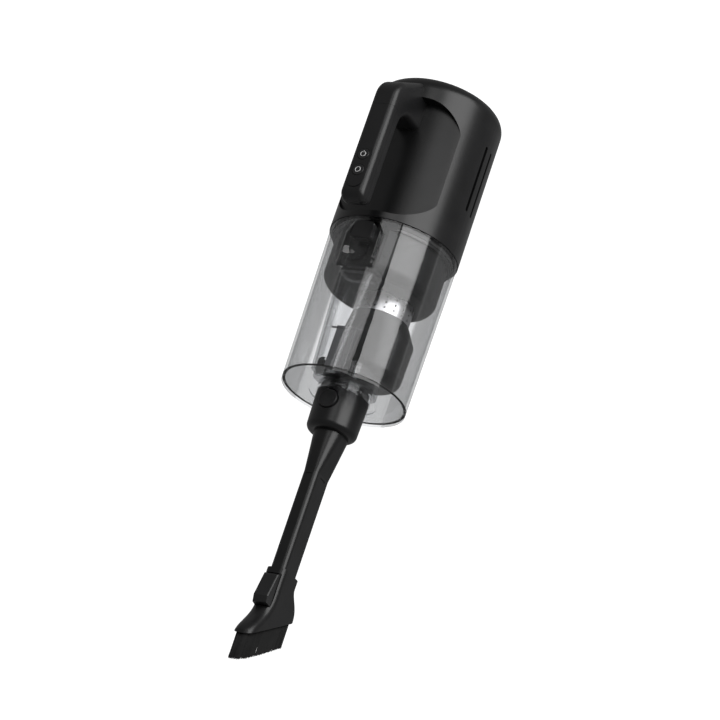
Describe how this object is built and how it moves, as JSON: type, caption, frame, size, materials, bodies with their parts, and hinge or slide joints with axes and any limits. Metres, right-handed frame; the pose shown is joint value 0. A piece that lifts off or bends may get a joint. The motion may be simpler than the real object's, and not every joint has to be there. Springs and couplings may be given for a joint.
{
  "type": "handheld vacuum",
  "caption": "Cordless handheld vacuum with a clear cyclone dust cup, a cantilevered handle and a crevice tool that carries a sliding brush.",
  "frame": {"origin": "centre of the bounding box, on the plane of the dock plate's flat rear face", "axes": "+Y along the main axis towards the tail, +Z towards the handle, +X across the width"},
  "size_m": [0.106, 0.4963, 0.143],
  "materials": {
    "black_plastic": "satin",
    "grip_plastic": "satin",
    "button_plastic": "satin",
    "clear_plastic": "smoke tint, clear",
    "rubber": "matte",
    "flap_rubber": "matte",
    "steel": "brushed",
    "spring_steel": "bright",
    "contact_brass": "bright",
    "coil_copper": "enamelled wire",
    "aluminium": "machined",
    "cell_wrap": "shrink wrap",
    "board": "solder mask",
    "foam": "open cell foam",
    "filter_paper": "pleated",
    "bristle": "nylon filament",
    "filter_plastic": "satin"
  },
  "bodies": {
    "housing": {"main_housing": "black_plastic", "rear_cover": "black_plastic", "handle": "grip_plastic", "handle_cover": "grip_plastic", "button_pad": "grip_plastic", "button_board": "board", "button_switches": "black_plastic", "dock_plate": "black_plastic", "dock_contacts": "contact_brass", "dock_screws": "steel", "charge_socket": "black_plastic", "motor_carrier": "black_plastic", "motor_damper": "rubber", "fan_cover": "black_plastic", "motor_can": "aluminium", "stator_core": "steel", "stator_coils": "coil_copper", "motor_bearings": "steel", "battery_cells": "cell_wrap", "battery_holders": "black_plastic", "control_board": "board", "board_components": "black_plastic", "exhaust_foam": "foam", "cyclone_shroud": "black_plastic", "cup_seal": "rubber", "mesh_screen": "steel", "cyclone_bell": "black_plastic", "filter_pleats": "filter_paper", "filter_frame": "filter_plastic"},
    "rotor": {"motor_shaft": "steel", "rotor_magnet": "steel", "impeller": "aluminium"},
    "power_button": {"power_button": "button_plastic"},
    "mode_button": {"mode_button": "button_plastic"},
    "dust_cup": {"cup_wall": "clear_plastic", "cup_floor": "clear_plastic", "floor_seal": "rubber", "socket_seal": "rubber", "inlet_duct": "clear_plastic", "flap_pin": "steel", "cup_release_spring": "spring_steel"},
    "cup_release": {"cup_release_button": "button_plastic"},
    "inlet_flap": {"inlet_flap": "flap_rubber"},
    "tool": {"tool_collar": "black_plastic", "crevice_tube": "black_plastic", "tool_release_spring": "spring_steel"},
    "tool_release": {"tool_release_button": "button_plastic"},
    "brush": {"brush_sleeve": "black_plastic", "bristles": "bristle"},
    "brush_release": {"brush_button": "button_plastic"}
  },
  "joints": [
    {"name": "power_press", "type": "slide", "parent": "housing", "child": "power_button", "axis": [0, 0, -1], "range_m": [0, 0.001], "stiffness_N_per_m": 300, "springref_m": -0.002},
    {"name": "mode_press", "type": "slide", "parent": "housing", "child": "mode_button", "axis": [0, 0, -1], "range_m": [0, 0.001], "stiffness_N_per_m": 300, "springref_m": -0.002},
    {"name": "motor_spin", "type": "hinge", "parent": "housing", "child": "rotor", "pos_m": [0, 0.1495, 0.054], "axis": [0, 1, 0], "continuous": true},
    {"name": "cup_slide", "type": "slide", "parent": "housing", "child": "dust_cup", "axis": [0, -1, 0], "range_m": [0, 0.14]},
    {"name": "cup_release_press", "type": "slide", "parent": "dust_cup", "child": "cup_release", "axis": [0, 0, -1], "range_m": [0, 0.0025], "stiffness_N_per_m": 400, "springref_m": -0.002, "deforming": ["cup_release_spring"]},
    {"name": "flap_hinge", "type": "hinge", "parent": "dust_cup", "child": "inlet_flap", "pos_m": [0, 0.0305, 0.0817], "axis": [-1, 0, 0], "range_deg": [0, 20]},
    {"name": "tool_slide", "type": "slide", "parent": "dust_cup", "child": "tool", "axis": [0, -1, 0], "range_m": [0, 0.045]},
    {"name": "tool_release_press", "type": "slide", "parent": "tool", "child": "tool_release", "axis": [0, 0, -1], "range_m": [0, 0.0015], "stiffness_N_per_m": 400, "springref_m": -0.002, "deforming": ["tool_release_spring"]},
    {"name": "brush_slide", "type": "slide", "parent": "tool", "child": "brush", "axis": [0, 1, 0], "range_m": [0, 0.07]},
    {"name": "brush_release_press", "type": "slide", "parent": "brush", "child": "brush_release", "axis": [0, 0, -1], "range_m": [0, 0.001], "stiffness_N_per_m": 400, "springref_m": -0.002}
  ]
}
